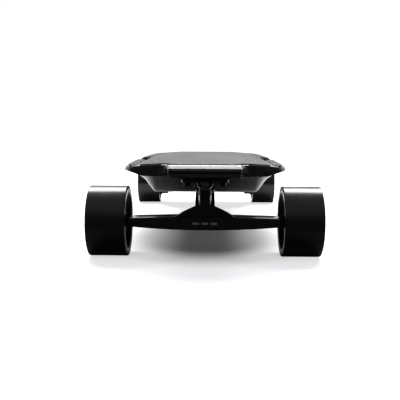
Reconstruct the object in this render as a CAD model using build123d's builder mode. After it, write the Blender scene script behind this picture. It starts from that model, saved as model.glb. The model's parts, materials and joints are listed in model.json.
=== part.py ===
from build123d import *
import math
import os

# The board lies along Y with its nose at -Y, X runs across it and +Z is up.
# The origin is on the ground, below the middle of the wheelbase.

# Overall sizes, in millimetres
wheelbase = 760.0
overhang = 100.0  # from an axle to the outer face of the bumper beyond it
deck_width = 239.0
deck_thickness = 17.0
camber = 5.0  # rise of the deck's middle over the line between its truck seats
flat_half_width = 62.0  # the top is flat across to here, and from here its sides slope down
side_slope = 4.0  # degrees

# Wheels and axles
wheel_diameter = 107.0
wheel_width = 58.0
lip_radius = 1.5
core_radius = 36.0
core_width = 40.0
core_rim = 5.0
hub_radius = 16.0
spoke_count = 5
spoke_width = 9.0
spoke_depth = 26.0
bearing_radius = 11.0
bearing_width = 6.0
spacer_bore = 8.0
axle_radius = 5.0
front_track = 290.0  # between the wheels' middle planes
rear_track = 308.0
axle_nut_radius = 8.0
axle_nut_length = 7.0
end_play = 0.3

# Trucks: both kingpins of a truck lean the same way, by this much from level
kingpin_lean = 55.0
truck_rise = 64.5  # from the axle to the baseplate's top
front_riser = 9.0
rear_riser = 2.0
lower_pivot_in = -10.0  # how far the lower pivot is from the axle, towards the board's middle
lower_pivot_up = 38.5
pivot_along = 21.0  # from the lower pivot to the upper one, along the kingpins
pivot_across = 36.0  # and square to them
kingpin_radius = 5.0
pivot_clearance = 0.05
eye_half = 8.0
hanger_eye_radius = 9.8
yoke_eye_radius = 15.0
bushing_radius = 9.6
bushing_long = 12.0
bushing_short = 9.0
bushing_gap = 0.1
washer_radius = 10.0
washer_thickness = 2.0
kingpin_nut_radius = 7.5
kingpin_nut_length = 6.0
yoke_thickness = 9.0
yoke_half_width = 15.0
yoke_toe = 10.5  # how far the yoke reaches past the lower kingpin
baseplate_half_width = 36.0
baseplate_thickness = 6.0
baseplate_length = 76.0
baseplate_start = -9.0
boss_radius = 13.0
bolt_spacing_x = 54.0
bolt_spacing_y = 60.0
bolt_radius = 3.0
bolt_head_radius = 5.0
bolt_head_height = 5.0
bolt_grip = 10.0  # how deep the bolts screw into the deck

# Hangers
hanger_front = -22.0
hanger_back = 18.0
hanger_end_low = -5.9  # heights from the axle
hanger_end_high = 6.5
hanger_mid_low = -11.5
hanger_mid_high = 8.5
front_hanger_half = 120.0
neck_setback = 6.0
gusset_base = 47.0
gusset_shoulder = 33.0
neck_half_width = 8.0
end_boss_radius = 9.0

# Motors and belt drive
motor_in = 85.4  # from the rear axle towards the board's middle
motor_up = 16.5
motor_radius = 31.5
motor_start = 33.0  # distances from the board's centre line
mount_inner = 94.0
mount_thickness = 6.0
mount_seat_margin = 1.0
motor_wall = 3.0
shaft_radius = 4.0
tooth_pitch = 5.0
tooth_depth = 1.6
wheel_teeth = 36
motor_teeth = 15
pulley_start = 104.0
pulley_width = 17.0
belt_width = 15.0
belt_thickness = 2.0
belt_gap = 0.3
guard_wall = 2.0
guard_gap = 2.3

# Deck and hull
nose_half_width = 52.0
bumper_half_width = 49.5
bumper_depth = 14.0
bumper_height = 11.0
shell_setback = 2.0  # how far the bumpers stand proud of the shell
hull_front = 240.0  # where the flat of the hull's bottom starts and ends
hull_rear = 205.0
front_ramp = 65.0
rear_ramp = 60.0
hull_drop = 42.0  # from the front truck seat to the hull's bottom
rim_drop = 10.5  # from the front truck seat to the lower edge of the side walls
slab_rim = 6.5
flare_share = 0.73
low_share = 0.286
side_lean = 6.5
flare_inset = 14.5
low_inset = 23.5
bottom_inset = 31.5
notch_depth = 22.5
notch_floor_drop = 13.0
grip_thickness = 1.2
grip_half_width = 93.0
wing_gap = 6.0
screw_head_radius = 4.0
screw_radius = 2.5
screw_depth = 10.0
screw_head_depth = 2.0
relief_half_width = 18.0  # pockets in the deck over the lower kingpins' nuts
relief_length = 34.0
relief_depth = 4.0

# Underside cover and what the hull holds
lid_thickness = 3.0
lid_inset = 6.0
flange_width = 10.0
gasket_thickness = 1.0
skin_thickness = 13.0
lid_screw_radius = 2.0
lid_screw_head = 3.6
cell_radius = 10.6
cell_length = 70.2
cell_pitch = 22.4
cell_rows = 14
tray_floor = 4.0
inner_gap = 0.2

# Side fittings
fitting_side_y = 150.0
fitting_pitch = 42.0
fitting_drop = 19.0
bezel_radius = 7.6
button_radius = 5.6
button_travel = 1.5
button_clearance = 0.1
port_radius = 6.2
socket_radius = 3.6
cap_radius = 7.6
cap_knuckle_radius = 1.6
cap_swing_room = 1.1

# Worked out from the above
half_length = wheelbase / 2 + overhang
half_width = deck_width / 2
axle_z = wheel_diameter / 2
baseplate_top = axle_z + truck_rise
front_seat_z = baseplate_top + front_riser
rear_seat_z = baseplate_top + rear_riser
hull_bottom = front_seat_z - hull_drop
middle_top = (front_seat_z + rear_seat_z) / 2 + deck_thickness + camber
fall = (rear_seat_z - front_seat_z) / wheelbase
bend = -camber / (wheelbase / 2) ** 2
lean_cos = math.cos(math.radians(kingpin_lean))
lean_sin = math.sin(math.radians(kingpin_lean))
ends = {
    "front": {"y": -wheelbase / 2, "inward": 1, "seat": front_seat_z, "riser": front_riser},
    "rear": {"y": wheelbase / 2, "inward": -1, "seat": rear_seat_z, "riser": rear_riser},
}
sides = {"left": -1, "right": 1}
os.makedirs("parts", exist_ok=True)


def save(piece, name):
    piece.part.label = name
    export_step(piece.part, f"parts/{name}.step")


def deck_top(y):
    return middle_top + fall * y + bend * y * y


def cross_plane(y, z=0.0):
    return Plane(origin=(0, y, z), x_dir=(1, 0, 0), z_dir=(0, -1, 0))


def side_plane(x, y, z):
    return Plane(origin=(x, y, z), x_dir=(0, 1, 0), z_dir=(1, 0, 0))


def ring(plane, radius, bore=0.0):
    with BuildSketch(plane) as face:
        Circle(radius)
        if bore:
            Circle(bore, mode=Mode.SUBTRACT)
    return face.sketch


def hexagon(plane, radius, bore):
    with BuildSketch(plane) as face:
        RegularPolygon(radius, 6)
        Circle(bore, mode=Mode.SUBTRACT)
    return face.sketch


def outline(plane, points, radius=0.0):
    with BuildSketch(plane) as face:
        with BuildLine():
            if radius:
                FilletPolyline(*points, radius=radius, close=True)
            else:
                Polyline(*points, close=True)
        make_face()
    return face.sketch


def mirrored(points):
    return points + [(-x, y) for x, y in reversed(points)]


def camber_band(low, high, plane=Plane.YZ):
    reach = half_length + 20
    with BuildSketch(plane) as face:
        with BuildLine():
            lower = ThreePointArc(*[(y, deck_top(y) + low) for y in (-reach, 0, reach)])
            upper = ThreePointArc(*[(y, deck_top(y) + high) for y in (-reach, 0, reach)])
            Line(lower @ 0, upper @ 0)
            Line(lower @ 1, upper @ 1)
        make_face()
    return face.sketch


def side_tilt(side):
    # The plane on which the top's profile is drawn for the sloping side, turned about the fold
    tilt = math.radians(side_slope)
    fold = (flat_half_width, middle_top)
    return Plane(
        origin=(side * (fold[0] - fold[1] * math.sin(tilt)), 0, fold[1] * (1 - math.cos(tilt))),
        x_dir=(0, 1, 0),
        z_dir=(math.cos(tilt), 0, -side * math.sin(tilt)),
    )


def crown_top(x, y):
    return deck_top(y) - max(0.0, abs(x) - flat_half_width) * math.tan(math.radians(side_slope))


def crown_cut(rise):
    # Takes away all that lies over the top surface, raised by this much
    extrude(camber_band(rise, 200), amount=deck_width, both=True, mode=Mode.SUBTRACT)
    for side in sides.values():
        extrude(camber_band(rise, 200, side_tilt(side)), amount=deck_width, both=True, mode=Mode.SUBTRACT)


def two_circles(x, first, first_radius, second, second_radius):
    with BuildSketch(side_plane(x, 0, 0)) as face:
        with Locations(first):
            Circle(first_radius)
        with Locations(second):
            Circle(second_radius)
        make_hull()
    return face.sketch


def end_points(points, end):
    # Points given as distance from the axle towards the board's middle, and height over the axle
    return [(end["y"] + end["inward"] * inward, axle_z + up) for inward, up in points]


def kingpin_plane(end, pivot, along):
    # Square to a kingpin, at a distance along it from its pivot, measured down and inwards
    inward, up = pivot
    place_y = end["y"] + end["inward"] * (inward + along * lean_cos)
    return Plane(
        origin=(0, place_y, axle_z + up - along * lean_sin),
        x_dir=(end["inward"], 0, 0),
        z_dir=(0, end["inward"] * lean_cos, -lean_sin),
    )


# Deck shell
def shell_section(y, bottom, rim):
    flare = bottom + flare_share * (rim - bottom)
    low = bottom + low_share * (rim - bottom)
    return mirrored([
        (half_width - side_lean, front_seat_z + 40),
        (half_width, rim),
        (half_width - flare_inset, flare),
        (half_width - low_inset, low),
        (half_width - bottom_inset, bottom),
    ])


shell_end = half_length - shell_setback
shell_rim_z = front_seat_z - rim_drop
slab_ends = [-shell_end, -hull_front - front_ramp, hull_rear + rear_ramp, shell_end]
slab_stations = [(y, deck_top(y) - deck_thickness, deck_top(y) - deck_thickness + slab_rim) for y in slab_ends]
hull_stations = [(-hull_front, hull_bottom, shell_rim_z), (hull_rear, hull_bottom, shell_rim_z)]
shell_stations = slab_stations[:2] + hull_stations + slab_stations[2:]

shoulder_outline = [
    (nose_half_width, shell_end),
    (nose_half_width + 6, shell_end - 26),
    (half_width - 36, shell_end - 31),
    (half_width - 8, shell_end - 41),
    (half_width, shell_end - 73),
]
plan_right = [(x, -y) for x, y in shoulder_outline] + [(x, y) for x, y in reversed(shoulder_outline)]
notch_corners = [
    (half_width + 5, wheelbase / 2 - 114),
    (half_width - notch_depth, wheelbase / 2 - 64),
    (half_width - notch_depth, wheelbase / 2 - 166),
    (half_width + 5, wheelbase / 2 - 181),
]
bumper_low = {"front": deck_top(-shell_end) - deck_thickness + 0.8,
    "rear": deck_top(shell_end) - deck_thickness + 0.8}
bumper_inner = half_length - bumper_depth
screw_spots = [(0, -70), (-35, -64), (35, -64), (-74, 16), (74, 16), (0, 75)]
all_screws = [(x, end["y"] + end["inward"] * y) for end in ends.values() for x, y in screw_spots]
lid_half = half_width - bottom_inset - lid_inset
lid_front = -hull_front + lid_inset
lid_rear = hull_rear - lid_inset
lid_length = lid_rear - lid_front
lid_middle = (lid_front + lid_rear) / 2
flange_z = hull_bottom + lid_thickness + gasket_thickness
bay_half = lid_half - flange_width
bay_length = lid_length - 2 * flange_width
bay_top = middle_top - skin_thickness - 3
lid_screw_x = lid_half - lid_screw_head - 0.4
lid_screw_count = 6
button_spot = (fitting_side_y, deck_top(fitting_side_y) - fitting_drop)
port_spot = (fitting_side_y - fitting_pitch, deck_top(fitting_side_y - fitting_pitch) - fitting_drop)
fitting_x = half_width - side_lean / 2 + 1.0  # outer face of the side fittings
button_floor = fitting_x - 13
port_floor = fitting_x - 5
cap_axis = (fitting_x, port_spot[1] + cap_radius + 0.2)
bolt_y = {name: end["y"] + end["inward"] * (baseplate_start + baseplate_length / 2)
    for name, end in ends.items()}

with BuildPart() as deck_shell:
    for y, bottom, rim in shell_stations:
        with BuildSketch(cross_plane(y)):
            with BuildLine():
                Polyline(*shell_section(y, bottom, rim), close=True)
            make_face()
    loft(ruled=True)
    crown_cut(0)
    extrude(outline(Plane.XY, mirrored(plan_right), 8), amount=300, mode=Mode.INTERSECT)
    for x_sign in (-1, 1):
        for y_sign in (-1, 1):
            corners = [(x_sign * x, y_sign * y) for x, y in notch_corners]
            floor = Plane.XY.offset(deck_top(y_sign * wheelbase / 3) - notch_floor_drop)
            extrude(outline(floor, corners, 5), amount=60, mode=Mode.SUBTRACT)
    for name, end in ends.items():
        with Locations((0, bolt_y[name], end["seat"])):
            pad = (2 * baseplate_half_width + 2, baseplate_length + 2)
            Box(*pad, 8, align=(Align.CENTER, Align.CENTER, Align.MIN))
            Box(*pad, 12, align=(Align.CENTER, Align.CENTER, Align.MAX), mode=Mode.SUBTRACT)
        with Locations((0, bolt_y[name], end["seat"])):
            with GridLocations(bolt_spacing_x, bolt_spacing_y, 2, 2):
                Cylinder(bolt_radius, 2 * bolt_grip, mode=Mode.SUBTRACT)
        relief_y = end["y"] + end["inward"] * (lower_pivot_in - relief_length / 2)
        with Locations((0, relief_y, end["seat"])):
            Box(2 * relief_half_width, relief_length, 2 * relief_depth, mode=Mode.SUBTRACT)
        bumper_y = -end["inward"] * (bumper_inner + 20)
        with Locations((0, bumper_y, bumper_low[name] + bumper_height)):
            Box(2 * bumper_half_width, 40, 40, align=(Align.CENTER, Align.CENTER, Align.MAX),
                mode=Mode.SUBTRACT)
    nose_top = deck_top(-shell_end)
    tail_top = deck_top(shell_end)
    for y_sign, top, low in ((-1, nose_top, bumper_low["front"]), (1, tail_top, bumper_low["rear"])):
        edge = y_sign * shell_end
        back = y_sign * (shell_end - 14)
        bevel = [(edge, low + bumper_height + 1.5), (edge, top + 5), (back, top + 5),
            (back, deck_top(back) - 0.2)]
        extrude(outline(Plane.YZ, bevel), amount=half_width, both=True, mode=Mode.SUBTRACT)
    with Locations((0, lid_middle, hull_bottom)):
        Box(2 * lid_half, lid_length, 2 * (flange_z - hull_bottom), mode=Mode.SUBTRACT)
        Box(2 * bay_half, bay_length, bay_top - hull_bottom,
            align=(Align.CENTER, Align.CENTER, Align.MIN), mode=Mode.SUBTRACT)
    with Locations((0, lid_middle, flange_z)):
        with GridLocations(2 * lid_screw_x, (lid_length - 2 * flange_width) / (lid_screw_count - 1), 2,
                lid_screw_count):
            Cylinder(lid_screw_radius, 12, mode=Mode.SUBTRACT)
    for x, y in all_screws:
        with Locations((x, y, crown_top(x, y))):
            Cylinder(screw_head_radius, 2 * (screw_head_depth - grip_thickness), mode=Mode.SUBTRACT)
            Cylinder(screw_radius, 2 * screw_depth, mode=Mode.SUBTRACT)
    extrude(ring(side_plane(button_floor, *button_spot), bezel_radius), amount=30, mode=Mode.SUBTRACT)
    extrude(ring(side_plane(port_floor, *port_spot), cap_radius + cap_swing_room), amount=30,
        mode=Mode.SUBTRACT)
    extrude(ring(side_plane(port_floor - 12, *port_spot), port_radius), amount=20, mode=Mode.SUBTRACT)
    with Locations((cap_axis[0] + 6, port_spot[0], cap_axis[1])):
        Box(16, 11, 2 * cap_knuckle_radius + 1.2, mode=Mode.SUBTRACT)
save(deck_shell, "deck_shell")

# The grip lies on this block, which has the deck's top surface
with BuildPart() as under_grip:
    with Locations((0, 0, middle_top - 60)):
        Box(2 * deck_width, 2 * half_length + 20, 200)
    crown_cut(0)

with BuildPart() as grip_mat:
    grip_right = [
        (nose_half_width - 8, shell_end - 16),
        (nose_half_width - 1, shell_end - 34),
        (grip_half_width, shell_end - 42),
    ]
    grip_outline = [(x, -y) for x, y in grip_right] + [(x, y) for x, y in reversed(grip_right)]
    extrude(outline(Plane.XY, mirrored(grip_outline), 4), amount=300)
    crown_cut(grip_thickness)
    add(under_grip.part, mode=Mode.SUBTRACT)
    with Locations(*[(x, y, crown_top(x, y)) for x, y in all_screws]):
        Cylinder(screw_head_radius + 0.1, 20, mode=Mode.SUBTRACT)
save(grip_mat, "grip_mat")

wing_inner = grip_half_width + wing_gap
wing_outer = half_width - side_lean
with BuildPart() as wing_grips:
    shoulder_patch = [
        (wing_inner, shell_end - 42),
        (wing_outer - 5, shell_end - 42),
        (wing_outer, shell_end - 72),
        (wing_outer, wheelbase / 2 - 106),
        (wing_inner, wheelbase / 2 - 76),
    ]
    notch_end = wheelbase / 2 - 180
    middle_patch = [
        (wing_inner, -notch_end + 8),
        (wing_outer, -notch_end - 1),
        (wing_outer, notch_end + 1),
        (wing_inner, notch_end - 8),
    ]
    for x_sign in (-1, 1):
        for y_sign in (-1, 1):
            extrude(outline(Plane.XY, [(x_sign * x, y_sign * y) for x, y in shoulder_patch], 2), amount=300)
        extrude(outline(Plane.XY, [(x_sign * x, y) for x, y in middle_patch], 2), amount=300)
    crown_cut(grip_thickness)
    add(under_grip.part, mode=Mode.SUBTRACT)
save(wing_grips, "wing_grips")

with BuildPart() as deck_screws:
    for x, y in all_screws:
        with Locations((x, y, crown_top(x, y) + grip_thickness)):
            Cylinder(screw_head_radius, screw_head_depth, align=(Align.CENTER, Align.CENTER, Align.MAX))
            Cylinder(screw_radius, screw_depth, align=(Align.CENTER, Align.CENTER, Align.MAX))
save(deck_screws, "deck_screws")

for name, end in ends.items():
    with BuildPart() as bumper:
        with BuildSketch(Plane.XY.offset(bumper_low[name])):
            with Locations((0, -end["inward"] * (half_length - bumper_depth / 2))):
                Rectangle(2 * bumper_half_width, bumper_depth)
        extrude(amount=bumper_height)
        outer_face = bumper.faces().sort_by(Axis.Y)[0 if end["inward"] > 0 else -1]
        fillet(outer_face.edges().filter_by(Axis.Z), 8)
        fillet(bumper.edges().filter_by(Axis.X).sort_by(Axis.Y)[0 if end["inward"] > 0 else -1], 3)
    save(bumper, "nose_bumper" if name == "front" else "tail_bumper")

# Underside cover
with BuildPart() as hull_lid:
    with Locations((0, lid_middle, hull_bottom)):
        Box(2 * lid_half, lid_length, lid_thickness, align=(Align.CENTER, Align.CENTER, Align.MIN))
    fillet(hull_lid.edges().filter_by(Axis.Z), 3)
    with Locations((0, lid_middle, hull_bottom)):
        with GridLocations(2 * lid_screw_x, (lid_length - 2 * flange_width) / (lid_screw_count - 1), 2,
                lid_screw_count):
            Cylinder(lid_screw_radius, 20, mode=Mode.SUBTRACT)
            Cylinder(lid_screw_head, 3.2, mode=Mode.SUBTRACT)
save(hull_lid, "hull_lid")

with BuildPart() as lid_gasket:
    with BuildSketch(Plane.XY.offset(hull_bottom + lid_thickness)):
        with Locations((0, lid_middle)):
            Rectangle(2 * bay_half + 5, bay_length + 5)
            Rectangle(2 * bay_half + 1.6, bay_length + 1.6, mode=Mode.SUBTRACT)
    extrude(amount=gasket_thickness)
save(lid_gasket, "lid_gasket")

with BuildPart() as lid_screws:
    with Locations((0, lid_middle, hull_bottom)):
        with GridLocations(2 * lid_screw_x, (lid_length - 2 * flange_width) / (lid_screw_count - 1), 2,
                lid_screw_count):
            Cylinder(lid_screw_head, 1.6, align=(Align.CENTER, Align.CENTER, Align.MIN))
            Cylinder(lid_screw_radius, 9, align=(Align.CENTER, Align.CENTER, Align.MIN))
save(lid_screws, "lid_screws")

# Battery and electronics stand on the cover
inside_z = hull_bottom + lid_thickness
pack_length = cell_rows * cell_pitch
pack_y = lid_middle - bay_length / 2 + pack_length / 2 + 4
cell_z = inside_z + inner_gap + tray_floor + cell_radius
cell_spots = [(x * (cell_length + 1) / 2, pack_y + (i - (cell_rows - 1) / 2) * cell_pitch)
              for x in (-1, 1) for i in range(cell_rows)]
with BuildPart() as battery_cells:
    for x, y in cell_spots:
        extrude(ring(side_plane(x - cell_length / 2, y, cell_z), cell_radius), amount=cell_length)
save(battery_cells, "battery_cells")

with BuildPart() as battery_tray:
    with Locations((0, pack_y, inside_z + inner_gap)):
        Box(2 * cell_length - 4, pack_length, tray_floor + cell_radius * 0.8,
            align=(Align.CENTER, Align.CENTER, Align.MIN))
    for i in range(cell_rows):
        y = pack_y + (i - (cell_rows - 1) / 2) * cell_pitch
        extrude(ring(side_plane(-cell_length - 2, y, cell_z), cell_radius + 0.1),
            amount=2 * cell_length + 4, mode=Mode.SUBTRACT)
save(battery_tray, "battery_tray")

board_y = pack_y + pack_length / 2 + 18
with BuildPart() as bms_board:
    with Locations((0, board_y, inside_z + inner_gap)):
        with GridLocations(100, 18, 2, 2):
            Cylinder(2.5, 6, align=(Align.CENTER, Align.CENTER, Align.MIN))
    with Locations((0, board_y, inside_z + inner_gap + 6)):
        Box(116, 26, 1.6, align=(Align.CENTER, Align.CENTER, Align.MIN))
    with Locations((0, board_y, inside_z + inner_gap + 7.6)):
        with GridLocations(17, 1, 6, 1):
            Box(11, 9, 4.5, align=(Align.CENTER, Align.CENTER, Align.MIN))
save(bms_board, "bms_board")

controller_y = board_y + 18 + 27
with BuildPart() as motor_controller:
    with Locations((0, controller_y, inside_z + inner_gap)):
        Box(110, 50, 14, align=(Align.CENTER, Align.CENTER, Align.MIN))
    with Locations((0, controller_y, inside_z + inner_gap + 14)):
        with GridLocations(8, 1, 13, 1):
            Box(3, 50, 10, align=(Align.CENTER, Align.CENTER, Align.MIN))
save(motor_controller, "motor_controller")

# Side fittings
with BuildPart() as button_bezel:
    extrude(ring(side_plane(button_floor, *button_spot), bezel_radius, button_radius + button_clearance),
            amount=fitting_x - button_floor)
    fillet(button_bezel.edges().filter_by(GeomType.CIRCLE).sort_by(Axis.X)[-1], 0.6)
save(button_bezel, "button_bezel")

with BuildPart() as power_button:
    extrude(ring(side_plane(button_floor + button_travel + 0.5, *button_spot), button_radius),
            amount=fitting_x - button_floor - button_travel - 1)
    fillet(power_button.edges().filter_by(GeomType.CIRCLE).sort_by(Axis.X)[-1], 1.0)
save(power_button, "power_button")

with BuildPart() as charge_port:
    extrude(ring(side_plane(port_floor - 12, *port_spot), port_radius), amount=12)
    extrude(ring(side_plane(port_floor - 9, *port_spot), socket_radius), amount=9, mode=Mode.SUBTRACT)
    extrude(ring(side_plane(port_floor - 9, *port_spot), 1.0), amount=7)
save(charge_port, "charge_port")

with BuildPart() as charge_cap:
    extrude(ring(side_plane(port_floor + 0.2, *port_spot), cap_radius), amount=fitting_x - port_floor - 0.2)
    knuckle = Plane(origin=(cap_axis[0], port_spot[0] - 5, cap_axis[1]), x_dir=(1, 0, 0), z_dir=(0, 1, 0))
    extrude(ring(knuckle, cap_knuckle_radius), amount=10)
    with Locations((fitting_x, port_spot[0], port_spot[1] - cap_radius + 2)):
        Box(2, 6, 3)
save(charge_cap, "charge_cap")

# Trucks
lower_pivot = (lower_pivot_in, lower_pivot_up)
upper_pivot = (
    lower_pivot_in + pivot_along * lean_cos + pivot_across * lean_sin,
    lower_pivot_up - pivot_along * lean_sin + pivot_across * lean_cos,
)
bore = kingpin_radius + pivot_clearance
yoke_top = eye_half + bushing_short + bushing_gap  # where the yoke starts, along the lower kingpin
boss_along = -eye_half - bushing_short - bushing_gap
nut_along = eye_half + bushing_gap + bushing_long + washer_thickness
stud_long = nut_along + kingpin_nut_length + 1


def bushing_pair(end, pivot, long_side):
    # A short bushing on the stud's rooted side of the eye and a long one on its nut side
    long_start = eye_half + bushing_gap if long_side > 0 else -eye_half - bushing_gap - bushing_long
    short_start = -eye_half - bushing_short if long_side > 0 else eye_half + bushing_gap
    for start, length in ((long_start, bushing_long), (short_start, bushing_short - bushing_gap)):
        extrude(ring(kingpin_plane(end, pivot, start), bushing_radius, bore), amount=length)


def kingpin_group(end, pivot, long_side, root):
    # The stud, its washer and its nut
    start = -root if long_side > 0 else -stud_long
    extrude(ring(kingpin_plane(end, pivot, start), kingpin_radius), amount=root + stud_long)
    washer = nut_along - washer_thickness if long_side > 0 else -nut_along
    extrude(ring(kingpin_plane(end, pivot, washer), washer_radius, bore), amount=washer_thickness)
    nut = nut_along if long_side > 0 else -nut_along - kingpin_nut_length
    extrude(hexagon(kingpin_plane(end, pivot, nut), kingpin_nut_radius, bore), amount=kingpin_nut_length)


with BuildPart() as riser_pads:
    for name, end in ends.items():
        with Locations((0, bolt_y[name], baseplate_top)):
            Box(2 * baseplate_half_width, baseplate_length, end["riser"],
                align=(Align.CENTER, Align.CENTER, Align.MIN))
            with GridLocations(bolt_spacing_x, bolt_spacing_y, 2, 2):
                Cylinder(bolt_radius + 0.25, 60, mode=Mode.SUBTRACT)
save(riser_pads, "riser_pads")

with BuildPart() as truck_bolts:
    for name, end in ends.items():
        head_z = baseplate_top - baseplate_thickness
        with Locations((0, bolt_y[name], head_z)):
            with GridLocations(bolt_spacing_x, bolt_spacing_y, 2, 2):
                Cylinder(bolt_head_radius, bolt_head_height, align=(Align.CENTER, Align.CENTER, Align.MAX))
                Cylinder(bolt_radius, baseplate_thickness + end["riser"] + bolt_grip - 0.5,
                         align=(Align.CENTER, Align.CENTER, Align.MIN))
save(truck_bolts, "truck_bolts")

for name, end in ends.items():
    with BuildPart() as baseplate:
        with Locations((0, bolt_y[name], baseplate_top)):
            Box(2 * baseplate_half_width, baseplate_length, baseplate_thickness,
                align=(Align.CENTER, Align.CENTER, Align.MAX))
        fillet(baseplate.edges().filter_by(Axis.Z), 8)
        extrude(ring(kingpin_plane(end, upper_pivot, boss_along - 8), boss_radius), amount=8)
        seat = [
            (upper_pivot[0] + boss_along * lean_cos - boss_radius * lean_sin,
             upper_pivot[1] - boss_along * lean_sin - boss_radius * lean_cos),
            (upper_pivot[0] + boss_along * lean_cos + 6 * lean_sin,
             upper_pivot[1] - boss_along * lean_sin + 6 * lean_cos),
            (baseplate_start + 6, truck_rise - baseplate_thickness + 1),
            (baseplate_start + 18, truck_rise - baseplate_thickness - 6),
        ]
        extrude(outline(Plane.YZ, end_points(seat, end)), amount=boss_radius - 1, both=True)
        with Locations((0, bolt_y[name], baseplate_top)):
            Box(120, 160, 40, align=(Align.CENTER, Align.CENTER, Align.MIN), mode=Mode.SUBTRACT)
            with GridLocations(bolt_spacing_x, bolt_spacing_y, 2, 2):
                Cylinder(bolt_radius + 0.25, 60, mode=Mode.SUBTRACT)
        extrude(ring(kingpin_plane(end, upper_pivot, -40), bore), amount=40, mode=Mode.SUBTRACT)
        extrude(ring(kingpin_plane(end, upper_pivot, boss_along), boss_radius + 3), amount=60,
            mode=Mode.SUBTRACT)
    save(baseplate, f"{name}_baseplate")

with BuildPart() as upper_kingpins:
    for end in ends.values():
        kingpin_group(end, upper_pivot, 1, eye_half + bushing_short + 5)
save(upper_kingpins, "upper_kingpins")

with BuildPart() as upper_bushings:
    for end in ends.values():
        bushing_pair(end, upper_pivot, 1)
save(upper_bushings, "upper_bushings")

for name, end in ends.items():
    with BuildPart() as yoke:
        slab = [
            (yoke_half_width, yoke_toe - 6),
            (yoke_half_width - 6, yoke_toe),
            (-yoke_half_width + 6, yoke_toe),
            (-yoke_half_width, yoke_toe - 6),
            (-yoke_half_width, -pivot_across),
            (yoke_half_width, -pivot_across),
        ]
        extrude(outline(kingpin_plane(end, lower_pivot, yoke_top), slab), amount=yoke_thickness)
        extrude(ring(kingpin_plane(end, upper_pivot, -eye_half), yoke_eye_radius), amount=2 * eye_half)
        extrude(ring(kingpin_plane(end, upper_pivot, -20), bore), amount=40, mode=Mode.SUBTRACT)
        extrude(ring(kingpin_plane(end, lower_pivot, 0), bore), amount=60, mode=Mode.SUBTRACT)
    save(yoke, f"{name}_yoke")

    with BuildPart() as lower_kingpin:
        kingpin_group(end, lower_pivot, -1, yoke_top + yoke_thickness)
    save(lower_kingpin, f"{name}_lower_kingpin")

    with BuildPart() as lower_bushings:
        bushing_pair(end, lower_pivot, -1)
    save(lower_bushings, f"{name}_lower_bushings")

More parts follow.
